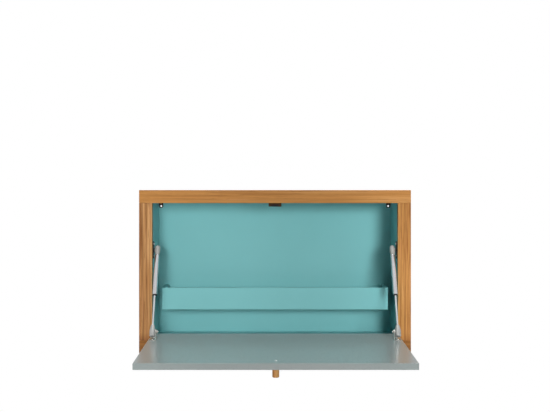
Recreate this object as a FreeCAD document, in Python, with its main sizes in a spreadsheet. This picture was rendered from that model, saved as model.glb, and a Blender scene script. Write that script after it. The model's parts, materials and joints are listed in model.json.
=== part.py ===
import FreeCAD, Part
import os
import re

# Fold down wall desk: an oak case that hangs on a wall, with a drop flap on two gas struts.
# X runs across the desk, Y towards the wall, Z up. The wall is the plane Y = 0.
# The origin lies on the wall, midway between the two wall holes.
# The flap and the struts are modelled in the open position.

SIZES = {
    # Case boards and the panel behind them
    "case_width": 900,
    "case_height": 540,
    "case_depth": 200,
    "board_thickness": 43,
    "board_edge_radius": 1.2,
    "back_thickness": 6,
    "back_rebate": 14,
    "back_gap": 0.5,
    # Lacquered linings, let into the boards behind an oak lip
    "lining_thickness": 4,
    "lip_depth": 22,
    # Dowels in the corner joints
    "dowel_radius": 5,
    "dowel_length": 60,
    "dowel_slack": 0.1,
    "dowel_end_slack": 1,
    # Tray on the back panel
    "tray_end_gap": 24.2,
    "tray_height": 74,
    "tray_depth": 122,
    "tray_board": 12,
    "tray_rise": 92.4,
    "tray_edge_radius": 1.5,
    # Hanging brackets in the upper rear corners
    "hang_drop": 13,
    "hang_inset": 8,
    "hang_plate": 2.5,
    "hang_plate_width": 14,
    "hang_leg": 19,
    "hang_arm": 45,
    "hang_hole_radius": 3.25,
    "hang_corner_radius": 4,
    "hang_screw_edge": 8,
    # Drop flap
    "flap_thickness": 19,
    "flap_side_gap": 2,
    "flap_top_gap": 2.4,
    "flap_edge_radius": 1.2,
    "flap_droop": 2,
    # Knob on the flap's outer face
    "knob_radius": 10,
    "knob_length": 28,
    "knob_inset": 32,
    "knob_end_radius": 2.5,
    "knob_screw_bite": 18,
    # Butt hinges
    "hinge_inset": 110,
    "hinge_length": 63,
    "hinge_leaf": 1.1,
    "hinge_leaf_slack": 0.1,
    "hinge_leaf_width": 17,
    "hinge_barrel_radius": 3,
    "hinge_barrel_gap": 0.3,
    "hinge_standoff": 0.2,
    "hinge_pin_radius": 1.5,
    "hinge_screw_spacing": 21,
    # Magnetic catch and its strike plate
    "catch_width": 43,
    "catch_height": 12,
    "catch_depth": 17,
    "catch_edge_radius": 2,
    "catch_gap": 0.3,
    "catch_screw_edge": 5.5,
    "catch_screw_floor": 3.5,
    "magnet_width": 24,
    "magnet_height": 4,
    "magnet_depth": 11,
    "magnet_floor": 1,
    "pole_thickness": 1,
    "pole_reach": 1,
    "strike_width": 38,
    "strike_height": 14,
    "strike_thickness": 1,
    "strike_inset": 2.2,
    "strike_screw_edge": 7,
    # Gas struts
    "strut_inset": 14.5,
    "strut_upper_depth": 32,
    "strut_rise": 295.8,
    "strut_reach": 100,
    "strut_ball_height": 24,
    "tube_radius": 7.5,
    "tube_wall": 0.9,
    "tube_length": 141,
    "tube_end_wall": 4,
    "tube_end_radius": 2,
    "upper_fitting_length": 19,
    "lower_fitting_length": 23,
    "fitting_radius": 9.25,
    "fitting_cap": 15.5,
    "fitting_barrel": 5,
    "upper_cap_radius": 7.5,
    "lower_cap_radius": 3,
    "upper_neck_radius": 6.9,
    "lower_neck_radius": 5.6,
    "neck_edge_radius": 1.5,
    "clip_place": 7,
    "clip_groove": 1.4,
    "clip_groove_depth": 0.9,
    "thread_radius": 2.5,
    "thread_length": 9,
    "rod_radius": 3,
    "guide_length": 14,
    "guide_lip": 2.5,
    "guide_lip_radius": 6.8,
    "piston_length": 10,
    "piston_gap": 3,
    "piston_slack": 0.1,
    "ball_radius": 5,
    "ball_slack": 0.25,
    "stud_radius": 3,
    "stud_mouth_slack": 1,
    "pivot_gap": 0.3,
    # Strut brackets on the side walls
    "wall_plate": 2.5,
    "wall_plate_width": 22,
    "wall_plate_height": 58,
    "wall_screw_spacing": 40,
    "wall_boss_radius": 6,
    "wall_boss_height": 2,
    # Strut brackets on the flap
    "foot_plate": 2,
    "foot_length": 46,
    "foot_width": 20,
    "foot_corner_radius": 4,
    "foot_screw_spacing": 33,
    "flange_plate": 2.5,
    "flange_length": 18,
    "flange_standoff": 10.5,
    "nut_radius": 5,
    "nut_height": 3.2,
    "bolt_tail": 2.5,
    # Screws
    "screw_radius": 1.75,
    "screw_length": 16,
    "pan_head_radius": 3.6,
    "pan_head_height": 2.2,
    "pan_head_edge_radius": 1.4,
    "sunk_head_radius": 3.4,
    "sunk_head_height": 2.2,
    "small_head_radius": 2.8,
    "recess_length": 3.2,
    "recess_width": 0.9,
    "recess_depth": 0.9,
    # Fits
    "running_fit": 0.05,
    "overrun": 5,
}

# Places and sizes that follow from the driving dimensions
PLACES = {
    "opening_half": "case_width / 2 - board_thickness",
    "opening_height": "case_height - 2 * board_thickness",
    "front_y": "-case_depth",
    "panel_y": "-back_thickness",
    "roof_z": "hang_drop",
    "floor_z": "roof_z - opening_height",
    "top_z": "roof_z + board_thickness",
    "lining_y": "front_y + lip_depth",
    "lining_depth": "case_depth - lip_depth - back_thickness",
    "back_screw_inset": "(lining_thickness + back_rebate) / 2",
    "tray_half": "opening_half - tray_end_gap",
    "tray_width": "2 * tray_half",
    "tray_y": "panel_y - tray_depth",
    "tray_z": "floor_z + tray_rise",
    "tray_inner_depth": "tray_depth - tray_board",
    "hang_x": "opening_half - hang_inset",
    "hinge_offset": "hinge_barrel_radius + hinge_standoff",
    "hinge_half_gap": "hinge_leaf + hinge_leaf_slack",
    "hinge_y": "front_y - hinge_offset",
    "hinge_z": "floor_z + hinge_half_gap",
    "hinge_x": "opening_half - hinge_inset",
    "barrel_length": "hinge_length / 3 - hinge_barrel_gap",
    "barrel_pitch": "hinge_length / 3",
    "barrel_clear": "hinge_barrel_radius + hinge_barrel_gap",
    "leaf_screw_place": "(hinge_offset + hinge_leaf_width) / 2",
    "flap_half": "opening_half - flap_side_gap",
    "flap_length": "opening_height - 2 * hinge_half_gap - flap_top_gap",
    "flap_end": "hinge_half_gap + flap_length",
    "flap_face": "hinge_offset + flap_thickness",
    "knob_place": "flap_end - knob_inset",
    "strike_place": "flap_end - strike_inset - strike_height",
    "catch_y": "front_y + flap_thickness + catch_gap + pole_reach",
    "catch_screw_x": "catch_width / 2 - catch_screw_edge",
    "magnet_z": "roof_z - catch_height + magnet_floor + pole_thickness",
    "ball_lift": "flap_face + strut_ball_height",
    "strut_x": "opening_half - strut_inset",
    "lower_y": "hinge_y - strut_reach * cos(flap_droop) - ball_lift * sin(flap_droop)",
    "lower_z": "hinge_z - strut_reach * sin(flap_droop) + ball_lift * cos(flap_droop)",
    "upper_y": "front_y + strut_upper_depth",
    "upper_z": "hinge_z + strut_rise",
    "strut_length": "sqrt((upper_y - lower_y) ^ 2 + (upper_z - lower_z) ^ 2)",
    "strut_lean": "atan2(upper_y - lower_y; upper_z - lower_z)",
    "tube_top": "strut_length - upper_fitting_length",
    "tube_bottom": "tube_top - tube_length",
    "tube_bore": "tube_radius - tube_wall",
    "piston_place": "tube_bottom + guide_length + piston_gap",
    "stud_length": "strut_inset - wall_plate - wall_boss_height - pivot_gap",
    "flange_x": "strut_x - flange_standoff - flange_plate",
    "foot_screw_x": "flange_x + (flange_plate + foot_width) / 2",
}

AXES = {
    "x": FreeCAD.Vector(1, 0, 0),
    "y": FreeCAD.Vector(0, 1, 0),
    "z": FreeCAD.Vector(0, 0, 1),
}
FLAP_FRAME = "placement(vector(0; hinge_y; hinge_z); rotation(vector(1; 0; 0); flap_droop))"
SIDES = {"left": -1, "right": 1}
DOWELS_PER_JOINT = 3
BACK_SCREWS_ACROSS = 5
BACK_SCREWS_UPRIGHT = 3
TRAY_SCREWS = 4

doc = FreeCAD.newDocument("fold_down_wall_desk")
sheet = doc.addObject("Spreadsheet::Sheet", "sizes")
for row, (alias, value) in enumerate(SIZES.items(), 1):
    sheet.set("A%d" % row, alias)
    sheet.set("B%d" % row, str(value))
    sheet.setAlias("B%d" % row, alias)
doc.recompute()

nodes = []


# Expressions: every size and place is written in the names above
def bound(text):
    def swap(match):
        word = match.group(0)
        if word in PLACES:
            return "(" + bound(PLACES[word]) + ")"
        return "sizes." + word if word in SIZES else word

    return re.sub(r"[a-z][a-z_0-9]*", swap, text)


def set_place(shape, start, along="+z"):
    direction = AXES[along[1]] * (-1 if along[0] == "-" else 1)
    shape.Placement = FreeCAD.Placement(FreeCAD.Vector(), FreeCAD.Rotation(AXES["z"], direction))
    for axis, text in zip("xyz", start):
        shape.setExpression("Placement.Base." + axis, bound(text))
    return shape


def moved(start, along, distance):
    spot = list(start)
    index = "xyz".index(along[1])
    spot[index] = "%s %s (%s)" % (spot[index], along[0], distance)
    return tuple(spot)


def opposite(along):
    return ("-" if along[0] == "+" else "+") + along[1]


# Primitives and booleans
def box(name, size, corner):
    shape = doc.addObject("Part::Box", name)
    for prop, text in zip(("Length", "Width", "Height"), size):
        shape.setExpression(prop, bound(text))
    return set_place(shape, corner)


def rod(name, radius, length, start, along):
    shape = doc.addObject("Part::Cylinder", name)
    shape.setExpression("Radius", bound(radius))
    shape.setExpression("Height", bound(length))
    return set_place(shape, start, along)


def taper(name, radius, end_radius, length, start, along):
    shape = doc.addObject("Part::Cone", name)
    shape.setExpression("Radius1", bound(radius))
    shape.setExpression("Radius2", bound(end_radius))
    shape.setExpression("Height", bound(length))
    return set_place(shape, start, along)


def ball(name, radius, centre, pole):
    shape = doc.addObject("Part::Sphere", name)
    shape.setExpression("Radius", bound(radius))
    return set_place(shape, centre, pole)


def cut(name, base, tools):
    shape = doc.addObject("Part::Cut", name)
    shape.Base = base
    shape.Tool = group(name + "_tools", tools) if len(tools) > 1 else tools[0]
    return shape


def fuse(name, pieces):
    shape = doc.addObject("Part::MultiFuse", name)
    shape.Shapes = pieces
    return shape


def group(name, pieces):
    shape = doc.addObject("Part::Compound", name)
    shape.Links = pieces
    return shape


def rounded(name, base, radius, wanted=lambda edge: True):
    doc.recompute()
    size = getattr(sheet, radius)
    shape = doc.addObject("Part::Fillet", name)
    shape.Base = base
    shape.Edges = [(n, size, size) for n, edge in enumerate(base.Shape.Edges, 1) if wanted(edge)]
    return shape


def node(label, shape, frame=None):
    if frame:
        shape = group(label, [shape])
        shape.setExpression("Placement", bound(frame))
    shape.Label = label
    nodes.append(shape)
    return shape


# Screws: each call makes one node of equal screws and returns the holes that they need
def screws(label, places, along, length="screw_length", head="pan", head_height=None, frame=None):
    pieces = []
    holes = []
    for place in places:
        shank = rod("shank", "screw_radius", length, place, along)
        if head == "pan":
            top = rod("head", "pan_head_radius", "pan_head_height", place, opposite(along))
            top = rounded("round_head", top, "pan_head_edge_radius", outer_rim(top, along))
            face = moved(place, opposite(along), "pan_head_height")
        else:
            face = place
            depth = head_height or "sunk_head_height"
            top = taper("head", head, "screw_radius", depth, place, along)
            holes.append(taper("sink", head + " + running_fit", "screw_radius + running_fit",
                               depth, place, along))
        pieces.append(cut("screw", fuse("blank", [top, shank]), [cross_recess(face, along)]))
        hole_start = moved(place, opposite(along), "overrun" if head == "pan" else "0")
        hole_length = length + " + running_fit" + (" + overrun" if head == "pan" else "")
        holes.append(rod("hole", "screw_radius + running_fit", hole_length, hole_start, along))
    node(label, group("screw_set", pieces), frame)
    return holes


def cross_recess(face, along):
    index = "xyz".index(along[1])
    others = [axis for axis in range(3) if axis != index]
    bars = []
    for long_axis, short_axis in (others, others[::-1]):
        size = ["recess_depth + overrun"] * 3
        size[long_axis] = "recess_length"
        size[short_axis] = "recess_width"
        corner = list(face)
        corner[long_axis] += " - recess_length / 2"
        corner[short_axis] += " - recess_width / 2"
        corner[index] += " - overrun" if along[0] == "+" else " - recess_depth"
        bars.append(box("recess_bar", size, corner))
    return fuse("recess", bars)


def outer_rim(head, along):
    doc.recompute()
    direction = AXES[along[1]] * (-1 if along[0] == "-" else 1)
    ends = [edge.CenterOfMass.dot(direction) for edge in head.Shape.Edges]
    return lambda edge: edge.CenterOfMass.dot(direction) == min(ends) and edge.Closed and is_circle(edge)


def is_circle(edge):
    return isinstance(edge.Curve, Part.Circle)


def spread(count, index):
    return "(%d / %d)" % (2 * index + 1 - count, count)


# Case fasteners come first, because the boards need their holes
def dowel_holes(upper):
    level = "roof_z" if upper else "floor_z"
    holes = []
    for side in SIDES.values():
        for index in range(DOWELS_PER_JOINT):
            start = dowel_start(side, index, level, "dowel_length / 2 + dowel_end_slack")
            length = "dowel_length + 2 * dowel_end_slack"
            holes.append(rod("dowel_hole", "dowel_radius + dowel_slack", length, start, "+z"))
    return holes


def dowel_start(side, index, level, below):
    across = "%d * (opening_half + board_thickness / 2)" % side
    along = "front_y / 2 + case_depth / 2 * " + spread(DOWELS_PER_JOINT, index)
    return (across, along, "%s - (%s)" % (level, below))


def make_dowels():
    pieces = []
    for level in ("roof_z", "floor_z"):
        for side in SIDES.values():
            for index in range(DOWELS_PER_JOINT):
                start = dowel_start(side, index, level, "dowel_length / 2")
                pieces.append(rod("dowel", "dowel_radius", "dowel_length", start, "+z"))
    node("case_dowels", group("dowels", pieces))


def back_screw_places():
    places = []
    for level, sign in (("roof_z", "+"), ("floor_z", "-")):
        for index in range(BACK_SCREWS_ACROSS):
            across = "opening_half * " + spread(BACK_SCREWS_ACROSS, index)
            places.append((across, "0", "%s %s back_screw_inset" % (level, sign)))
    for side in SIDES.values():
        for index in range(BACK_SCREWS_UPRIGHT):
            up = "roof_z - opening_height / 2 + opening_height / 2 * " + spread(BACK_SCREWS_UPRIGHT, index)
            places.append(("%d * (opening_half + back_screw_inset)" % side, "0", up))
    return places


def tray_screw_places():
    height = "tray_z + tray_board / 2"
    return [("tray_half * " + spread(TRAY_SCREWS, index), "0", height) for index in range(TRAY_SCREWS)]


def hang_screw_places():
    places = []
    for side in SIDES.values():
        for reach in ("hang_arm - hang_screw_edge", "hang_arm / 2"):
            across = "%d * hang_x" % side
            places.append((across, "panel_y - (%s)" % reach, "roof_z - hang_plate"))
    return places


def wall_screw_places(side):
    places = []
    for sign in ("-", "+"):
        height = "upper_z %s wall_screw_spacing / 2" % sign
        places.append(("%d * (opening_half - wall_plate)" % side, "upper_y", height))
    return places


# Case
def make_case():
    make_dowels()
    back_holes = screws("back_panel_screws", back_screw_places(), "-y", head="sunk_head_radius")
    tray_holes = screws("tray_screws", tray_screw_places(), "-y", length="screw_length + back_thickness",
                        head="sunk_head_radius")
    hang_holes = screws("hanging_bracket_screws", hang_screw_places(), "+z")
    catch_holes = make_catch()
    leaf_holes = make_case_leaves()
    wall_holes = make_wall_brackets()
    roof_holes = hang_holes + catch_holes
    make_top_and_bottom(back_holes, roof_holes, leaf_holes)
    make_side_boards(back_holes, wall_holes)
    make_linings(roof_holes, wall_holes)
    make_back_panel(back_holes, tray_holes)
    make_tray(tray_holes)
    make_hanging_brackets(hang_holes)


def long_board(name, base_z, recess_z, rebate_z, holes):
    size = ("case_width", "case_depth", "board_thickness")
    plank = box(name, size, ("-case_width / 2", "front_y", base_z))
    plank = rounded(name + "_eased", plank, "board_edge_radius")
    recess = box("recess", ("2 * opening_half", "case_depth", "lining_thickness"),
                 ("-opening_half", "lining_y", recess_z))
    rebate = box("rebate", ("2 * (opening_half + back_rebate)", "back_thickness + overrun", "back_rebate"),
                 ("-opening_half - back_rebate", "panel_y", rebate_z))
    return cut(name + "_cut", plank, [recess, rebate] + holes)


def make_top_and_bottom(back_holes, roof_holes, leaf_holes):
    top_holes = back_holes + roof_holes + dowel_holes(True)
    node("top_board", long_board("top", "roof_z", "roof_z", "roof_z", top_holes))
    floor_holes = back_holes + leaf_holes + dowel_holes(False)
    node("bottom_board", long_board("bottom", "floor_z - board_thickness", "floor_z - lining_thickness",
                                    "floor_z - back_rebate", floor_holes))


def make_side_boards(back_holes, wall_holes):
    for name, side in SIDES.items():
        start = "opening_half" if side > 0 else "-opening_half - board_thickness"
        size = ("board_thickness", "case_depth", "opening_height")
        plank = box("side", size, (start, "front_y", "floor_z"))
        plank = rounded("side_eased", plank, "board_edge_radius")
        tall = "opening_height + 2 * overrun"
        recess_x = "opening_half" if side > 0 else "-opening_half - lining_thickness"
        recess = box("recess", ("lining_thickness", "case_depth", tall),
                     (recess_x, "lining_y", "floor_z - overrun"))
        rebate_x = "opening_half" if side > 0 else "-opening_half - back_rebate"
        rebate = box("rebate", ("back_rebate", "back_thickness + overrun", tall),
                     (rebate_x, "panel_y", "floor_z - overrun"))
        holes = back_holes + wall_holes[name] + dowel_holes(True) + dowel_holes(False)
        node(name + "_side_board", cut("side_cut", plank, [recess, rebate] + holes))


def make_linings(roof_holes, wall_holes):
    flat = ("2 * opening_half", "lining_depth", "lining_thickness")
    roof = box("roof_sheet", flat, ("-opening_half", "lining_y", "roof_z"))
    node("top_lining", cut("roof_sheet_cut", roof, roof_holes))
    under = ("-opening_half", "lining_y", "floor_z - lining_thickness")
    node("floor_lining", box("floor_sheet", flat, under))
    upright = ("lining_thickness", "lining_depth", "opening_height")
    for name, side in SIDES.items():
        start = "opening_half" if side > 0 else "-opening_half - lining_thickness"
        sheet_box = box("side_sheet", upright, (start, "lining_y", "floor_z"))
        node(name + "_side_lining", cut("side_sheet_cut", sheet_box, wall_holes[name]))


def make_back_panel(back_holes, tray_holes):
    wide = "2 * (opening_half + back_rebate - back_gap)"
    tall = "opening_height + 2 * (back_rebate - back_gap)"
    corner = ("-opening_half - back_rebate + back_gap", "panel_y", "floor_z - back_rebate + back_gap")
    panel = box("panel", (wide, "back_thickness", tall), corner)
    node("back_panel", cut("panel_cut", panel, back_holes + tray_holes + hang_bores()))


def hang_bores():
    bores = []
    for side in SIDES.values():
        start = ("%d * hang_x" % side, "panel_y - hang_plate - overrun", "0")
        length = "back_thickness + hang_plate + 2 * overrun"
        bores.append(rod("wall_hole", "hang_hole_radius", length, start, "+y"))
    return bores


def make_tray(tray_holes):
    face = ("tray_width", "tray_board", "tray_height")
    front = box("tray_face", face, ("-tray_half", "tray_y", "tray_z"))
    node("tray_front", rounded("tray_face_eased", front, "tray_edge_radius"))
    inner_y = "tray_y + tray_board"
    base = box("tray_floor", ("tray_width - 2 * tray_board", "tray_inner_depth", "tray_board"),
               ("-tray_half + tray_board", inner_y, "tray_z"))
    node("tray_base", cut("tray_floor_cut", base, tray_holes))
    for name, side in SIDES.items():
        start = "tray_half - tray_board" if side > 0 else "-tray_half"
        end = box("tray_end", ("tray_board", "tray_inner_depth", "tray_height"), (start, inner_y, "tray_z"))
        node("tray_%s_end" % name, end)


def make_hanging_brackets(hang_holes):
    for name, side in SIDES.items():
        start = "%d * hang_x - hang_plate_width / 2" % side
        arm = box("arm", ("hang_plate_width", "hang_arm", "hang_plate"),
                  (start, "panel_y - hang_arm", "roof_z - hang_plate"))
        leg = box("leg", ("hang_plate_width", "hang_plate", "hang_leg"),
                  (start, "panel_y - hang_plate", "roof_z - hang_leg"))
        plate = rounded("bracket_eased", fuse("bracket", [arm, leg]), "hang_corner_radius", hang_corner)
        node(name + "_hanging_bracket", cut("bracket_cut", plate, hang_holes + hang_bores()))


def hang_corner(edge):
    return abs(edge.Length - sheet.hang_plate) < sheet.running_fit


# Magnetic catch under the top board
def make_catch():
    places = []
    for side in SIDES.values():
        height = "roof_z - catch_screw_floor"
        places.append(("%d * catch_screw_x" % side, "catch_y + catch_depth / 2", height))
    holes = screws("catch_screws", places, "+z")
    body = box("catch_block", ("catch_width", "catch_depth", "catch_height"),
               ("-catch_width / 2", "catch_y", "roof_z - catch_height"))
    body = rounded("catch_eased", body, "catch_edge_radius", catch_edge)
    stack = "magnet_height + 2 * pole_thickness"
    pocket = box("pocket", ("magnet_width", "magnet_depth + overrun", stack),
                 ("-magnet_width / 2", "catch_y - overrun", "magnet_z - pole_thickness"))
    wells = []
    for place in places:
        start = moved(place, "-z", "overrun + catch_height")
        wells.append(rod("well", "pan_head_radius + running_fit", "overrun + catch_height", start, "+z"))
    node("catch_housing", cut("catch_cut", body, [pocket] + wells + holes))
    node("catch_magnet", box("magnet", ("magnet_width", "magnet_depth", "magnet_height"),
                             ("-magnet_width / 2", "catch_y", "magnet_z")))
    poles = []
    for level in ("magnet_z - pole_thickness", "magnet_z + magnet_height"):
        poles.append(box("pole", ("magnet_width", "magnet_depth + pole_reach", "pole_thickness"),
                         ("-magnet_width / 2", "catch_y - pole_reach", level)))
    node("catch_pole_plates", group("poles", poles))
    return holes


def catch_edge(edge):
    return edge.CenterOfMass.z < sheet.hang_drop - sheet.running_fit


# Hinges: two barrels on the case leaf, one between them on the flap leaf
def barrel(name, centre, frame_start):
    start = ("%s - barrel_length / 2" % centre,) + frame_start
    return rod(name, "hinge_barrel_radius", "barrel_length", start, "+x")


def pin_bore(centre, frame_start):
    start = ("%s - hinge_length / 2 - overrun" % centre,) + frame_start
    return rod("pin_bore", "hinge_pin_radius + running_fit", "hinge_length + 2 * overrun", start, "+x")


def leaf_screw_xs(side):
    return ["%d * hinge_x + %d * hinge_screw_spacing" % (side, step) for step in (-1, 0, 1)]


def make_case_leaves():
    places = []
    for side in SIDES.values():
        for across in leaf_screw_xs(side):
            places.append((across, "hinge_y + leaf_screw_place", "floor_z + hinge_leaf"))
    holes = screws("hinge_case_screws", places, "-z", head="small_head_radius", head_height="hinge_leaf")
    axis = ("hinge_y", "hinge_z")
    for name, side in SIDES.items():
        centre = "%d * hinge_x" % side
        plate = box("leaf", ("hinge_length - 2 * hinge_barrel_gap", "hinge_leaf_width", "hinge_leaf"),
                    (centre + " - hinge_length / 2 + hinge_barrel_gap", "hinge_y", "floor_z"))
        gap = box("leaf_gap", ("barrel_pitch + hinge_barrel_gap", "2 * barrel_clear", "2 * barrel_clear"),
                  (centre + " - (barrel_pitch + hinge_barrel_gap) / 2", "hinge_y - barrel_clear",
                   "hinge_z - barrel_clear"))
        ends = [barrel("barrel", "%s %s barrel_pitch" % (centre, sign), axis) for sign in ("-", "+")]
        leaf = fuse("leaf_joined", [cut("leaf_notched", plate, [gap])] + ends)
        node(name + "_hinge_case_leaf", cut("leaf_cut", leaf, [pin_bore(centre, axis)] + holes))
    return holes


def make_flap_leaves():
    places = []
    for side in SIDES.values():
        for across in leaf_screw_xs(side):
            places.append((across, "-hinge_leaf_slack", "leaf_screw_place"))
    holes = screws("hinge_flap_screws", places, "-y", head="small_head_radius", head_height="hinge_leaf",
                   frame=FLAP_FRAME)
    axis = ("0", "0")
    for name, side in SIDES.items():
        centre = "%d * hinge_x" % side
        plate = box("leaf", ("hinge_length - 2 * hinge_barrel_gap", "hinge_leaf", "hinge_leaf_width"),
                    (centre + " - hinge_length / 2 + hinge_barrel_gap", "-hinge_half_gap", "0"))
        gaps = []
        gap_size = ("barrel_pitch + hinge_barrel_gap", "2 * barrel_clear", "2 * barrel_clear")
        for sign in ("-", "+"):
            start = "%s %s barrel_pitch - (barrel_pitch + hinge_barrel_gap) / 2" % (centre, sign)
            gaps.append(box("leaf_gap", gap_size, (start, "-barrel_clear", "-barrel_clear")))
        leaf = fuse("leaf_joined", [cut("leaf_notched", plate, gaps), barrel("barrel", centre, axis)])
        leaf = cut("leaf_cut", leaf, [pin_bore(centre, axis)] + holes)
        node(name + "_hinge_flap_leaf", leaf, FLAP_FRAME)
        pin_start = (centre + " - hinge_length / 2", "0", "0")
        pin = rod("pin", "hinge_pin_radius", "hinge_length", pin_start, "+x")
        node(name + "_hinge_pin", pin, FLAP_FRAME)
    return holes


# Flap, in its own frame: the hinge axis is X, the flap runs towards -Y, its inner face is up
def make_flap():
    holes = make_flap_leaves() + make_knob() + make_strike() + make_flap_brackets()
    panel = box("flap_board", ("2 * flap_half", "flap_length", "flap_thickness"),
                ("-flap_half", "-flap_end", "hinge_offset"))
    panel = rounded("flap_eased", panel, "flap_edge_radius")
    node("flap_panel", cut("flap_cut", panel, holes), FLAP_FRAME)


def make_knob():
    holes = screws("knob_screw", [("0", "-knob_place", "flap_face")], "-z",
                   length="flap_thickness + knob_screw_bite", frame=FLAP_FRAME)
    peg = rod("peg", "knob_radius", "knob_length", ("0", "-knob_place", "hinge_offset"), "-z")
    peg = rounded("peg_eased", peg, "knob_end_radius", outer_rim(peg, "+z"))
    node("knob", cut("peg_cut", peg, holes), FLAP_FRAME)
    return holes


def make_strike():
    places = []
    for side in SIDES.values():
        across = "%d * (strike_width / 2 - strike_screw_edge)" % side
        places.append((across, "-strike_place - strike_height / 2", "flap_face"))
    holes = screws("strike_screws", places, "-z", length="flap_thickness / 2",
                   head="small_head_radius", head_height="strike_thickness", frame=FLAP_FRAME)
    seat = "flap_face - strike_thickness"
    plate = box("strike", ("strike_width", "strike_height", "strike_thickness"),
                ("-strike_width / 2", "-strike_place - strike_height", seat))
    node("strike_plate", cut("strike_cut", plate, holes), FLAP_FRAME)
    room = ("strike_width + 2 * running_fit", "strike_height + 2 * running_fit",
            "strike_thickness + overrun")
    corner = ("-strike_width / 2 - running_fit", "-strike_place - strike_height - running_fit", seat)
    return holes + [box("strike_pocket", room, corner)]


# Strut brackets
def make_wall_brackets():
    holes = {}
    for name, side in SIDES.items():
        outward = "+x" if side > 0 else "-x"
        inner = "%d * (opening_half - wall_plate)" % side
        holes[name] = screws(name + "_wall_bracket_screws", wall_screw_places(side), outward)
        half = "(wall_plate_height - wall_plate_width) / 2"
        plate_x = "opening_half - wall_plate" if side > 0 else "-opening_half"
        plate = box("plate", ("wall_plate", "wall_plate_width", "wall_plate_height - wall_plate_width"),
                    (plate_x, "upper_y - wall_plate_width / 2", "upper_z - " + half))
        ends = []
        for sign in ("-", "+"):
            start = (inner, "upper_y", "upper_z %s %s" % (sign, half))
            ends.append(rod("plate_end", "wall_plate_width / 2", "wall_plate", start, outward))
        boss_start = ("%d * (opening_half - wall_plate - wall_boss_height)" % side, "upper_y", "upper_z")
        boss = rod("boss", "wall_boss_radius", "wall_plate + wall_boss_height", boss_start, outward)
        bracket = fuse("wall_bracket", [plate, boss] + ends)
        node(name + "_wall_bracket", cut("wall_bracket_cut", bracket, holes[name]))
    return holes


def make_flap_brackets():
    holes = []
    for name, side in SIDES.items():
        outward = "+x" if side > 0 else "-x"
        places = []
        for sign in ("-", "+"):
            along = "-strut_reach %s foot_screw_spacing / 2" % sign
            places.append(("%d * foot_screw_x" % side, along, "flap_face + foot_plate"))
        own_holes = screws(name + "_flap_bracket_screws", places, "-z", frame=FLAP_FRAME,
                           length="flap_thickness / 2 + foot_plate")
        foot_x = "flange_x" if side > 0 else "-flange_x - foot_width"
        foot = box("foot", ("foot_width", "foot_length", "foot_plate"),
                   (foot_x, "-strut_reach - foot_length / 2", "flap_face"))
        foot = rounded("foot_eased", foot, "foot_corner_radius", foot_corner)
        flange_x = "flange_x" if side > 0 else "-flange_x - flange_plate"
        flange = box("flange", ("flange_plate", "flange_length", "strut_ball_height"),
                     (flange_x, "-strut_reach - flange_length / 2", "flap_face"))
        start = ("%d * flange_x" % side, "-strut_reach", "ball_lift")
        crown = rod("crown", "flange_length / 2", "flange_plate", start, outward)
        bracket = fuse("flap_bracket", [foot, flange, crown])
        eye = rod("eye", "stud_radius + running_fit", "flange_plate + 2 * overrun",
                  moved(start, opposite(outward), "overrun"), outward)
        node(name + "_flap_bracket", cut("flap_bracket_cut", bracket, own_holes + [eye]), FLAP_FRAME)
        make_lower_stud(name, side, outward)
        holes += own_holes
    return holes


def foot_corner(edge):
    return abs(edge.Length - sheet.foot_plate) < sheet.running_fit


def make_lower_stud(name, side, outward):
    start = ("%d * (flange_x - nut_height)" % side, "-strut_reach", "ball_lift")
    tail = moved(start, opposite(outward), "bolt_tail")
    reach = "bolt_tail + nut_height + flange_plate + flange_standoff"
    neck = rod("neck", "stud_radius", reach, tail, outward)
    tip = ball("tip", "ball_radius", ("%d * strut_x" % side, "-strut_reach", "ball_lift"), outward)
    nut = doc.addObject("Part::Prism", "nut")
    nut.Polygon = 6
    nut.setExpression("Circumradius", bound("nut_radius"))
    nut.setExpression("Height", bound("nut_height"))
    set_place(nut, start, outward)
    node(name + "_lower_ball_stud", fuse("lower_stud", [neck, tip, nut]), FLAP_FRAME)


# Gas struts, each in its own frame: the lower ball is the origin, the strut runs up along Z
def make_struts():
    for name, side in SIDES.items():
        base = "vector(%d * strut_x; lower_y; lower_z)" % side
        frame = "placement(%s; rotation(vector(1; 0; 0); -strut_lean))" % base
        outward = "+x" if side > 0 else "-x"
        make_lower_end(name, opposite(outward), frame)
        make_rod(name, frame)
        make_tube(name, frame)
        make_upper_end(name, outward, frame)


def ball_socket(height, stud_side, inward, neck, cap_radius, thread_start):
    neck_radius, neck_length = neck
    centre = ("0", "0", height)
    outer_end = moved(centre, opposite(inward), "fitting_cap")
    barrel_part = rod("socket_barrel", "fitting_radius", "fitting_cap + fitting_barrel", outer_end, inward)
    neck_part = taper("socket_neck", "fitting_radius", neck_radius, neck_length + " - fitting_barrel",
                      moved(centre, inward, "fitting_barrel"), inward)
    body = fuse("socket_body", [barrel_part, neck_part])
    body = rounded("socket_cap", body, cap_radius, outer_rim(body, inward))
    body = rounded("socket_eased", body, "neck_edge_radius", outer_rim(body, opposite(inward)))
    hollow = ball("hollow", "ball_radius + ball_slack", centre, stud_side)
    mouth = rod("mouth", "stud_radius + stud_mouth_slack", "fitting_radius + overrun", centre, stud_side)
    thread = rod("thread_hole", "thread_radius + running_fit", "thread_length + running_fit",
                 ("0", "0", thread_start), "+z")
    return cut("fitting", body, [hollow, mouth, thread, clip_groove(centre, opposite(inward))])


def clip_groove(centre, outward):
    start = moved(centre, outward, "clip_place")
    core = rod("groove_core", "fitting_radius - clip_groove_depth", "clip_groove", start, outward)
    ring = rod("groove_ring", "fitting_radius + overrun", "clip_groove", start, outward)
    return cut("groove", ring, [core])


def make_lower_end(name, stud_side, frame):
    thread_start = "lower_fitting_length - thread_length - running_fit"
    neck = ("lower_neck_radius", "lower_fitting_length")
    fitting = ball_socket("0", stud_side, "+z", neck, "lower_cap_radius", thread_start)
    node(name + "_lower_end_fitting", fitting, frame)


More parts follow.
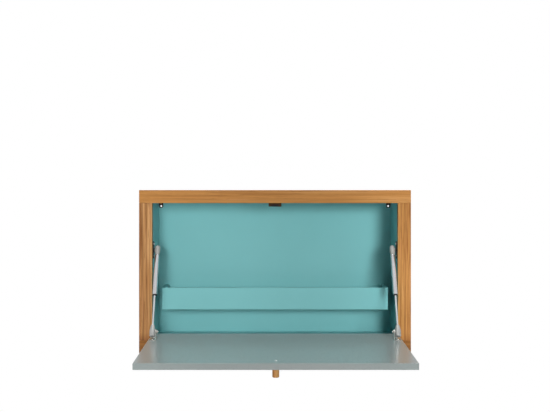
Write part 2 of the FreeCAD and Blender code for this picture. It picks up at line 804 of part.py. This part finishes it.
def make_upper_end(name, stud_side, frame):
    neck = ("upper_neck_radius", "upper_fitting_length")
    fitting = ball_socket("strut_length", stud_side, "-z", neck, "upper_cap_radius", "tube_top")
    node(name + "_upper_end_fitting", fitting, frame)
    stem = rod("neck", "stud_radius", "stud_length", ("0", "0", "strut_length"), stud_side)
    tip = ball("tip", "ball_radius", ("0", "0", "strut_length"), stud_side)
    node(name + "_upper_ball_stud", fuse("upper_stud", [stem, tip]), frame)


def make_rod(name, frame):
    thread = rod("rod_thread", "thread_radius", "thread_length",
                 ("0", "0", "lower_fitting_length - thread_length"), "+z")
    shaft = rod("shaft", "rod_radius", "piston_place + piston_length - lower_fitting_length",
                ("0", "0", "lower_fitting_length"), "+z")
    node(name + "_rod", fuse("rod_joined", [thread, shaft]), frame)
    disc = rod("disc", "tube_bore - piston_slack", "piston_length", ("0", "0", "piston_place"), "+z")
    bore = rod("disc_bore", "rod_radius + running_fit", "piston_length + 2 * overrun",
               ("0", "0", "piston_place - overrun"), "+z")
    node(name + "_piston", cut("disc_cut", disc, [bore]), frame)


def make_tube(name, frame):
    barrel_body = rod("tube_outer", "tube_radius", "tube_length", ("0", "0", "tube_bottom"), "+z")
    barrel_body = rounded("tube_eased", barrel_body, "tube_end_radius", outer_rim(barrel_body, "-z"))
    bore = rod("tube_inner", "tube_bore", "tube_length - tube_end_wall + overrun",
               ("0", "0", "tube_bottom - overrun"), "+z")
    thread = rod("tube_thread", "thread_radius", "thread_length", ("0", "0", "tube_top"), "+z")
    tube = fuse("tube_joined", [cut("tube_cut", barrel_body, [bore]), thread])
    node(name + "_tube", tube, frame)
    plug = rod("guide_plug", "tube_bore - running_fit", "guide_length", ("0", "0", "tube_bottom"), "+z")
    lip = rod("guide_rim", "guide_lip_radius", "guide_lip", ("0", "0", "tube_bottom - guide_lip"), "+z")
    hole = rod("guide_bore", "rod_radius + running_fit", "guide_length + guide_lip + 2 * overrun",
               ("0", "0", "tube_bottom - guide_lip - overrun"), "+z")
    node(name + "_rod_guide", cut("guide_cut", fuse("guide", [plug, lip]), [hole]), frame)


def write_parts():
    doc.recompute()
    for item in doc.Objects:
        if "Invalid" in item.State or "Error" in item.State:
            raise RuntimeError("%s failed: %s" % (item.Label, item.State))
    os.makedirs("parts", exist_ok=True)
    for item in nodes:
        if item.Shape.isNull() or not item.Shape.isValid() or not item.Shape.Solids:
            raise RuntimeError("%s has no valid shape" % item.Label)
    for item in nodes:
        item.Shape.exportStep("parts/%s.step" % item.Label)
        print("%-32s %d solids %12.1f mm3" % (item.Label, len(item.Shape.Solids), item.Shape.Volume))


make_case()
make_flap()
make_struts()
write_parts()
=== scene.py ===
"""Looks of a fold down wall desk: oak case, teal lacquered inside, grey drop flap on gas struts."""

import json
import math

import bpy
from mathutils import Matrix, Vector

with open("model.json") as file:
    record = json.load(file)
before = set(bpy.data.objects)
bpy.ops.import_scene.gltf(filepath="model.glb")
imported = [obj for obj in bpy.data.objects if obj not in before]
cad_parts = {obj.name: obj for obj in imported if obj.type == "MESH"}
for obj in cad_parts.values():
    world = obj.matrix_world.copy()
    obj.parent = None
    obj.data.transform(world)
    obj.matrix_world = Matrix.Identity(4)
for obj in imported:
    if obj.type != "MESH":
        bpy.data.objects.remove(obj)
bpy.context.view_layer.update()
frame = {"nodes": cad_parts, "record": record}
nodes = frame["nodes"]
scene = bpy.context.scene

# Most values of a noise lie between the first two
NOISE_LOW = 0.3
NOISE_HIGH = 0.7
NOISE_MIDDLE = 0.5
WHITE = (1, 1, 1, 1)


# Node graph helpers
class Graph:
    """One material's node tree, built from small steps."""

    def __init__(self, name):
        self.material = bpy.data.materials.new(name)
        self.material.use_nodes = True
        self.tree = self.material.node_tree
        self.tree.nodes.clear()
        self.bsdf = self.add("BsdfPrincipled")
        output = self.add("OutputMaterial")
        self.tree.links.new(self.bsdf.outputs["BSDF"], output.inputs["Surface"])

    def put(self, socket, value):
        if isinstance(value, bpy.types.NodeSocket):
            self.tree.links.new(value, socket)
        else:
            socket.default_value = value

    def add(self, kind, inputs=None, **settings):
        node = self.tree.nodes.new("ShaderNode" + kind)
        for key, value in settings.items():
            setattr(node, key, value)
        for key, value in (inputs or {}).items():
            self.put(node.inputs[key], value)
        return node

    def surface(self, **values):
        for key, value in values.items():
            self.put(self.bsdf.inputs[key.replace("_", " ").title().replace("Ior", "IOR")], value)

    def place(self, turn=(0, 0, 0), shift=(0, 0, 0)):
        """The piece's own coordinates in metres, turned so that its grain runs along X."""
        own = self.add("TexCoord").outputs["Object"]
        return self.add("Mapping", {"Vector": own, "Rotation": turn, "Location": shift}).outputs["Vector"]

    def stretch(self, vector, scale):
        return self.add("VectorMath", {0: vector, 1: scale}, operation="MULTIPLY").outputs["Vector"]

    def noise(self, vector, scale, detail=2.0, roughness=0.5, distortion=0.0):
        """Noise stretched by three scales, one for each axis."""
        inputs = {"Vector": self.stretch(vector, scale), "Scale": 1.0, "Detail": detail,
                  "Roughness": roughness, "Distortion": distortion}
        return self.add("TexNoise", inputs).outputs["Fac"]

    def math(self, operation, a, b=0.0):
        return self.add("Math", {0: a, 1: b}, operation=operation).outputs["Value"]

    def span(self, value, low, high, new_low=0.0, new_high=1.0):
        """The stretch from low to high moved to a new one, and held at its ends."""
        inputs = {"Value": value, "From Min": low, "From Max": high, "To Min": new_low, "To Max": new_high}
        return self.add("MapRange", inputs, clamp=True).outputs["Result"]

    def vary(self, noise, low, high):
        """A number that follows the noise from low to high."""
        return self.span(noise, NOISE_LOW, NOISE_HIGH, low, high)

    def ramp(self, value, stops):
        node = self.add("ValToRGB", {"Fac": value})
        elements = node.color_ramp.elements
        while len(elements) < len(stops):
            elements.new(position=0.5)
        for element, (position, color) in zip(elements, stops):
            element.position = position
            element.color = tint(color)
        return node.outputs["Color"]

    def mottle(self, noise, shade, color):
        """A colour that follows the noise from shade to color."""
        return self.ramp(noise, [(NOISE_LOW, shade), (NOISE_HIGH, color)])

    def mix(self, factor, a, b, blend="MIX"):
        node = self.add("Mix", data_type="RGBA", blend_type=blend)
        self.put(node.inputs["Factor"], factor)
        self.put(node.inputs["A"], a if isinstance(a, bpy.types.NodeSocket) else tint(a))
        self.put(node.inputs["B"], b if isinstance(b, bpy.types.NodeSocket) else tint(b))
        return node.outputs["Result"]

    def bump(self, height, strength, distance):
        inputs = {"Height": height, "Strength": strength, "Distance": distance}
        return self.add("Bump", inputs).outputs["Normal"]


def linear(value):
    """One channel of a screen colour, 0 to 255, by the sRGB curve."""
    value = value / 255.0
    return value / 12.92 if value <= 0.04045 else ((value + 0.055) / 1.055) ** 2.4


def tint(color):
    """A screen colour, 0 to 255, as the linear colour that nodes take."""
    return tuple(linear(c) for c in color) + (1.0,)


# Wood: scales are repeats per metre along the grain and across it
TURN_ALONG_X = (0, 0, 0)
TURN_ALONG_Z = (0, math.radians(90), 0)
SWAY_SCALE = (1.3, 6, 6)
WANDER_SCALE = (2.5, 60, 60)
BROAD_SCALE = (1.1, 30, 30)
STREAK_SCALE = (3.2, 150, 150)
FIBRE_SCALE = (9, 420, 420)
DASH_SCALE = (11, 210, 210)
PORE_SCALE = (42, 1500, 1500)
BEECH_SCALE = (12, 300, 300)

# How far rings sway, in metres, and wander, in rings
SWAY_ACROSS = 0.05
SWAY_UP = 0.03
RING_WANDER = 0.9

# Where each mark begins and is full, and how strong it is
BROAD_SHARE = 0.4
STREAK_SHARE = 0.6
TONE_STOPS = (0.39, 0.47, 0.53, 0.62)
RING_GREYS = ((0.0, 70), (0.25, 205), (0.7, 185), (0.97, 60))
FIBRE_RANGE = (0.3, 0.75)
FIBRE_STRENGTH = 0.3
FIBRE_RELIEF = 0.35
DASH_RANGE = (0.56, 0.68)
DASH_STRENGTH = 0.5
PORE_RANGE = (0.6, 0.7)
PORE_STRENGTH = 0.6
EARLY_WOOD_SHARE = 0.5
LATE_PORE_SHARE = 0.15
FOOT_FULL_HEIGHT = -0.445
FOOT_END_HEIGHT = -0.415

FIBRE_BROWN = (128, 78, 38)
DASH_BROWN = (112, 66, 30)
PORE_BROWN = (92, 54, 26)
FOOT_BROWN = (150, 104, 70)
BEECH_SHADE = (196, 156, 112)
BEECH_COLOR = (216, 180, 138)
OAK_ROUGHNESS = (0.46, 0.6)
BEECH_ROUGHNESS = (0.5, 0.62)
OAK_SPECULAR = 0.28
WOOD_RELIEF = 0.0003


def growth_rings(g, at, heart, pitch):
    """The place within a growth ring, 0 to 1. The rings run round an axis, heart, outside the board."""
    sway = g.math("SUBTRACT", g.noise(at, SWAY_SCALE, detail=3.0), NOISE_MIDDLE)
    split = g.add("SeparateXYZ", {"Vector": at})
    across = g.math("ADD", g.math("ADD", split.outputs["Y"], heart[0]), g.math("MULTIPLY", sway, SWAY_ACROSS))
    up = g.math("ADD", g.math("ADD", split.outputs["Z"], heart[1]), g.math("MULTIPLY", sway, SWAY_UP))
    radius = g.math("SQRT", g.math("ADD", g.math("MULTIPLY", across, across), g.math("MULTIPLY", up, up)))
    wander = g.noise(at, WANDER_SCALE)
    turns = g.math("ADD", g.math("DIVIDE", radius, pitch), g.math("MULTIPLY", wander, RING_WANDER))
    return g.math("FRACT", turns)


def oak_tone(g, at, shades):
    """Broad clouds and narrow streaks, from dark to light."""
    light, mid, dark = shades
    broad = g.noise(at, BROAD_SCALE, detail=3.0, roughness=0.55, distortion=0.3)
    streak = g.noise(at, STREAK_SCALE, distortion=0.4)
    tone = g.math("ADD", g.math("MULTIPLY", broad, BROAD_SHARE), g.math("MULTIPLY", streak, STREAK_SHARE))
    return g.ramp(tone, list(zip(TONE_STOPS, (dark, mid, mid, light))))


def oak(name, turn, shift, heart, shades, pitch, depth, foot=0.0, figure=1.0):
    """Solid oak, whose faces and ends are sawn from the same rings.

    depth is the strength of the rings, figure that of fibres and dashes, and foot darkens a lower end.
    """
    g = Graph(name)
    at = g.place(turn, shift)
    ring = growth_rings(g, at, heart, pitch)
    fibre = g.noise(at, FIBRE_SCALE, detail=4.0, roughness=0.65)
    late = g.ramp(ring, [(position, (grey, grey, grey)) for position, grey in RING_GREYS])
    ringed = g.mix(depth, oak_tone(g, at, shades), late, "OVERLAY")
    fibre_share = g.span(fibre, *FIBRE_RANGE, 0.0, FIBRE_STRENGTH * figure)
    fibred = g.mix(fibre_share, ringed, FIBRE_BROWN, "MULTIPLY")
    dash_share = g.span(g.noise(at, DASH_SCALE), *DASH_RANGE, 0.0, DASH_STRENGTH * figure)
    dashed = g.mix(dash_share, fibred, DASH_BROWN)
    height = g.add("SeparateXYZ", {"Vector": g.place()}).outputs["Z"]
    foot_share = g.span(height, FOOT_FULL_HEIGHT, FOOT_END_HEIGHT, foot, 0.0)
    footed = g.mix(foot_share, dashed, FOOT_BROWN, "MULTIPLY")
    pore = g.span(g.noise(at, PORE_SCALE, detail=1.0), *PORE_RANGE)
    pores = g.math("MULTIPLY", pore, g.span(ring, 0.0, EARLY_WOOD_SHARE, 1.0, LATE_PORE_SHARE))
    color = g.mix(g.math("MULTIPLY", pores, PORE_STRENGTH), footed, PORE_BROWN)
    relief = g.math("SUBTRACT", g.math("MULTIPLY", fibre, FIBRE_RELIEF), pores)
    g.surface(base_color=color, roughness=g.vary(fibre, *OAK_ROUGHNESS), specular_ior_level=OAK_SPECULAR,
              normal=g.bump(relief, strength=0.25, distance=WOOD_RELIEF))
    return g.material


def plain_beech(name):
    g = Graph(name)
    grain = g.noise(g.place(), BEECH_SCALE, detail=3.0)
    g.surface(base_color=g.mottle(grain, BEECH_SHADE, BEECH_COLOR), roughness=g.vary(grain, *BEECH_ROUGHNESS),
              normal=g.bump(grain, strength=0.15, distance=WOOD_RELIEF))
    return g.material


# Lacquers
CLOUD_SCALE = (5, 5, 5)
RIPPLE_SCALE = (420, 420, 420)
DUST_SCALE = (1700, 1700, 1700)
DUST_SHARE = 0.5
CLOUD_LOW = 0.2
CLOUD_HIGH = 0.8
RIPPLE_SPREAD = 0.008
RIPPLE_RELIEF = 0.0004
COAT_ROUGHNESS = 0.18


def lacquer(name, color, shade, roughness, peel, specular=0.5, coat=0.0):
    """Sprayed lacquer: nearly even colour, faint cloudiness, and the fine ripple that spraying leaves."""
    g = Graph(name)
    at = g.place()
    cloud = g.noise(at, CLOUD_SCALE, detail=3.0)
    ripple = g.noise(at, RIPPLE_SCALE)
    dust = g.math("SUBTRACT", g.noise(at, DUST_SCALE, detail=1.0), NOISE_MIDDLE)
    blend = g.math("ADD", cloud, g.math("MULTIPLY", dust, DUST_SHARE))
    g.surface(base_color=g.ramp(blend, [(CLOUD_LOW, shade), (CLOUD_HIGH, color)]),
              roughness=g.vary(ripple, roughness - RIPPLE_SPREAD, roughness + RIPPLE_SPREAD),
              specular_ior_level=specular, coat_weight=coat, coat_roughness=COAT_ROUGHNESS,
              normal=g.bump(ripple, strength=peel, distance=RIPPLE_RELIEF))
    return g.material


# Metals and plastics
METAL_PATCH_SCALE = (70, 70, 70)
METAL_GRAIN_SCALE = (260, 260, 260)
TUBE_GRAIN_SCALE = (30, 30, 30)
ROD_GRAIN_SCALE = (60, 60, 60)
METAL_RELIEF = 0.0002
PLASTIC_PATCH_SCALE = (45, 45, 45)
SPARK_SCALE = (2400, 2400, 2400)
SMOOTHER = 0.05
ROUGHER = 0.08
PLASTIC_SPECULAR = 0.3
PLASTIC_RELIEF = 0.00015


def metal(name, color, shade, roughness, spread, metallic=1.0, grain=METAL_GRAIN_SCALE, bump=0.06):
    """Plated, cast or painted metal with a mottled finish."""
    g = Graph(name)
    at = g.place()
    patch = g.noise(at, METAL_PATCH_SCALE, detail=4.0, roughness=0.6)
    fine = g.noise(at, grain, detail=3.0)
    g.surface(base_color=g.mottle(patch, shade, color), metallic=metallic,
              roughness=g.vary(fine, roughness - spread, roughness + spread),
              normal=g.bump(fine, strength=bump, distance=METAL_RELIEF))
    return g.material


def plastic(name, color, shade, roughness):
    """Moulded plastic with the fine texture of a spark-eroded mould."""
    g = Graph(name)
    at = g.place()
    patch = g.noise(at, PLASTIC_PATCH_SCALE)
    spark = g.noise(at, SPARK_SCALE)
    g.surface(base_color=g.mottle(patch, shade, color),
              roughness=g.vary(spark, roughness - SMOOTHER, roughness + ROUGHER),
              specular_ior_level=PLASTIC_SPECULAR,
              normal=g.bump(spark, strength=0.12, distance=PLASTIC_RELIEF))
    return g.material


# Oak shades: light, mid and dark
BROWN_OAK = ((208, 155, 96), (196, 139, 77), (181, 125, 67))
DEEP_OAK = ((158, 112, 62), (146, 98, 50), (116, 72, 34))
RED_OAK = ((210, 163, 109), (184, 133, 83), (135, 85, 47))
GOLD_OAK = ((218, 169, 108), (198, 144, 82), (163, 109, 58))
LIGHT_OAK = ((226, 175, 108), (210, 153, 86), (175, 118, 61))

# Finishes that two entries share
BRONZED = {"color": (96, 84, 74), "shade": (78, 66, 58), "roughness": 0.4, "spread": 0.08, "metallic": 0.6}
FLAP_GREY = {"color": (143, 152, 151), "shade": (141, 150, 149), "roughness": 0.28, "peel": 0.006,
             "specular": 0.5, "coat": 0.22}

FINISHES = {
    "top_board": oak("oak_top", TURN_ALONG_X, shift=(0.31, 0.02, 0.0), heart=(0.16, 0.05),
                     shades=BROWN_OAK, pitch=0.014, depth=0.14, figure=0.5),
    "bottom_board": oak("oak_bottom", TURN_ALONG_X, shift=(1.7, 0.4, 0.2), heart=(-0.3, -0.33),
                        shades=DEEP_OAK, pitch=0.011, depth=0.2),
    "left_side_board": oak("oak_left", TURN_ALONG_Z, shift=(0.2, 0.1, 0.36), heart=(0.12, -0.03),
                           shades=RED_OAK, pitch=0.013, depth=0.4, foot=0.7),
    "right_side_board": oak("oak_right", TURN_ALONG_Z, shift=(2.4, 0.2, 0.05), heart=(0.1, 0.06),
                            shades=GOLD_OAK, pitch=0.015, depth=0.4, foot=0.4),
    "knob": oak("oak_knob", TURN_ALONG_Z, shift=(0.9, 0.1, 0.1), heart=(0.3, 0.02),
                shades=LIGHT_OAK, pitch=0.009, depth=0.3),
    "hanging_bracket_screws": metal("dark_screw", **BRONZED),
    "catch_screws": metal("catch_screw", **BRONZED),
    # The knob screw's head is near-white and mostly diffuse, a painted highlight, so that it shows as a
    # bright dot on the flap
    "knob_screw": metal("painted_highlight_screw", (250, 250, 250), (240, 240, 240), roughness=0.3, spread=0.05,
                        metallic=0.2),
}
SLOT_FINISHES = {
    "beech_dowel": plain_beech("beech"),
    "teal_lacquer": lacquer("teal_lacquer", (128, 192, 194), (124, 188, 190), roughness=0.35, peel=0.03,
                            specular=0.3),
    "grey_lacquer": lacquer("grey_lacquer", **FLAP_GREY),
    "brown_plastic": plastic("brown_plastic", (70, 48, 26), (56, 38, 20), roughness=0.5),
    "magnet": metal("magnet", (70, 70, 74), (56, 56, 60), roughness=0.5, spread=0.08),
    "dark_steel": metal("dark_steel", (50, 40, 34), (38, 30, 26), roughness=0.45, spread=0.08, metallic=0.4),
    "lacquered_steel": lacquer("lacquered_steel", **FLAP_GREY),
    "black_steel": metal("black_steel", (30, 30, 31), (20, 20, 21), roughness=0.45, spread=0.08,
                         metallic=0.0),
    "black_plastic": plastic("black_plastic", (34, 34, 35), (26, 26, 27), roughness=0.4),
    "strut_tube": metal("strut_tube", (232, 232, 235), (228, 228, 231), roughness=0.2, spread=0.02,
                        metallic=0.9, grain=TUBE_GRAIN_SCALE, bump=0.0),
    "strut_rod": metal("strut_rod", (244, 244, 246), (236, 236, 238), roughness=0.14, spread=0.04,
                       metallic=0.85, grain=ROD_GRAIN_SCALE, bump=0.0),
    "fitting_metal": metal("fitting_metal", (172, 173, 170), (162, 163, 160), roughness=0.45, spread=0.06,
                           metallic=0.2),
    "screw_steel": metal("screw_steel", (222, 222, 218), (206, 206, 202), roughness=0.28, spread=0.06,
                         metallic=0.55),
    "zinc_steel": metal("zinc_steel", (212, 211, 204), (172, 171, 165), roughness=0.26, spread=0.07,
                        metallic=0.7),
}

for row in frame["record"]["subparts"]:
    piece = nodes[row["node"]]
    finish = FINISHES.get(row["node"]) or SLOT_FINISHES[row["material_slot"]]
    piece.data.materials.clear()
    piece.data.materials.append(finish)

# Floor, about 0.7 m below the open flap
FLOOR_HEIGHT = -1.17
FLOOR_BACK = 1.4
FLOOR_SIZE = 7.0
FLOOR_SCALE = (2, 2, 2)
FLOOR_SHADE = (236, 236, 234)
FLOOR_COLOR = (240, 240, 238)
FLOOR_ROUGHNESS = 0.85
FLOOR_GLOW = 0.3


def make_floor():
    half = FLOOR_SIZE / 2
    front = FLOOR_BACK - FLOOR_SIZE
    mesh = bpy.data.meshes.new("floor")
    corners = [(-half, front), (half, front), (half, FLOOR_BACK), (-half, FLOOR_BACK)]
    mesh.from_pydata([(x, y, FLOOR_HEIGHT) for x, y in corners], [], [(0, 1, 2, 3)])
    floor = bpy.data.objects.new("floor", mesh)
    scene.collection.objects.link(floor)
    g = Graph("pale_floor")
    path = g.add("LightPath").outputs
    seen = g.math("MAXIMUM", path["Is Camera Ray"], path["Is Glossy Ray"])
    cloud = g.noise(g.place(), FLOOR_SCALE)
    g.surface(base_color=g.mottle(cloud, FLOOR_SHADE, FLOOR_COLOR), roughness=FLOOR_ROUGHNESS,
              emission_color=WHITE, emission_strength=g.math("MULTIPLY", seen, FLOOR_GLOW))
    mesh.materials.append(g.material)


make_floor()

# World: white where it is seen, a pale wall behind the desk and a dim room in front of it as light
GLOW_BEHIND = 0.5
GLOW_FRONT = 0.05
GLOW_IN_GLOSS = 0.6
GLOW_SEEN = 1.0

# The wall's light fades to the room's between these two, as the Y of a direction
ROOM_SIDE = -0.45
WALL_SIDE = 0.15


def make_world():
    world = bpy.data.worlds.new("studio")
    scene.world = world
    world.use_nodes = True
    tree = world.node_tree
    tree.nodes.clear()

    def add(kind, **settings):
        node = tree.nodes.new("ShaderNode" + kind)
        for key, value in settings.items():
            setattr(node, key, value)
        return node

    def blend(factor, low, high):
        node = add("Mix", data_type="FLOAT")
        for key, value in (("Factor", factor), ("A", low), ("B", high)):
            if isinstance(value, bpy.types.NodeSocket):
                tree.links.new(value, node.inputs[key])
            else:
                node.inputs[key].default_value = value
        return node.outputs["Result"]

    split = add("SeparateXYZ")
    tree.links.new(add("TexCoord").outputs["Generated"], split.inputs["Vector"])
    side = add("MapRange", interpolation_type="SMOOTHSTEP")
    side.inputs["From Min"].default_value = ROOM_SIDE
    side.inputs["From Max"].default_value = WALL_SIDE
    tree.links.new(split.outputs["Y"], side.inputs["Value"])
    path = add("LightPath").outputs
    strength = blend(side.outputs["Result"], GLOW_FRONT, GLOW_BEHIND)
    strength = blend(path["Is Glossy Ray"], strength, GLOW_IN_GLOSS)
    strength = blend(path["Is Transmission Ray"], strength, GLOW_IN_GLOSS)
    strength = blend(path["Is Camera Ray"], strength, GLOW_SEEN)
    background = add("Background")
    background.inputs["Color"].default_value = WHITE
    tree.links.new(strength, background.inputs["Strength"])
    output = add("OutputWorld")
    tree.links.new(background.outputs["Background"], output.inputs["Surface"])


make_world()

# Lamps: three spots from the left front, as (across, height, power), one from the right front, two soft ones
LEFT_LAMPS = ((-0.4, 0.0, 108), (-0.55, 0.25, 76), (-0.78, 0.5, 76))
LEFT_LAMPS_Y = -3.2
LEFT_AIM = (-0.6, 0.0, -0.3)
RIGHT_AIM = (0.6, 0.0, -0.3)


def place_lamp(name, data, place, aim):
    lamp = bpy.data.objects.new(name, data)
    lamp.location = place
    lamp.rotation_euler = (Vector(aim) - Vector(place)).to_track_quat("-Z", "Y").to_euler()
    scene.collection.objects.link(lamp)
    return lamp


def make_soft_lamp(name, place, aim, size, power):
    data = bpy.data.lights.new(name, "AREA")
    data.shape = "DISK"
    data.size = size
    data.energy = power
    place_lamp(name, data, place, aim)


def make_spot(name, place, aim, spread, size, power):
    """A gridded softbox: its light fades out to the sides, and no gloss mirrors it."""
    data = bpy.data.lights.new(name, "SPOT")
    data.spot_size = math.radians(spread)
    data.spot_blend = 1.0
    data.shadow_soft_size = size
    data.energy = power
    lamp = place_lamp(name, data, place, aim)
    lamp.visible_glossy = False


for lamp_x, lamp_height, lamp_power in LEFT_LAMPS:
    make_spot("left", (lamp_x, LEFT_LAMPS_Y, lamp_height), LEFT_AIM, spread=30, size=0.2, power=lamp_power)
make_spot("right", place=(1.23, -3.4, 0.3), aim=RIGHT_AIM, spread=27, size=0.5, power=525)
make_soft_lamp("top", place=(0.1, -0.75, 2.5), aim=(0.0, -0.42, -0.45), size=1.4, power=44)
make_soft_lamp("low", place=(0.1, -1.8, -1.05), aim=(0.0, -0.6, -0.45), size=0.8, power=4)

# Camera at the photograph's place: level, in front of the case, at the height of its top
CAMERA_PLACE = (-0.0159, -3.297, 0.056)
IMAGE_WIDTH = 550.0
FOCAL_PIXELS = 936.0
SENSOR = 36.0
HORIZON_ABOVE_MIDDLE = 15.9
CENTRE_LEFT_OF_MIDDLE = 4.8

camera_data = bpy.data.cameras.new("camera")
camera_data.sensor_width = SENSOR
camera_data.lens = SENSOR * FOCAL_PIXELS / IMAGE_WIDTH
camera_data.shift_x = CENTRE_LEFT_OF_MIDDLE / IMAGE_WIDTH
camera_data.shift_y = -HORIZON_ABOVE_MIDDLE / IMAGE_WIDTH
camera = bpy.data.objects.new("camera", camera_data)
camera.location = CAMERA_PLACE
camera.rotation_euler = (math.radians(90), 0, 0)
scene.collection.objects.link(camera)
scene.camera = camera
scene.view_settings.view_transform = "Standard"
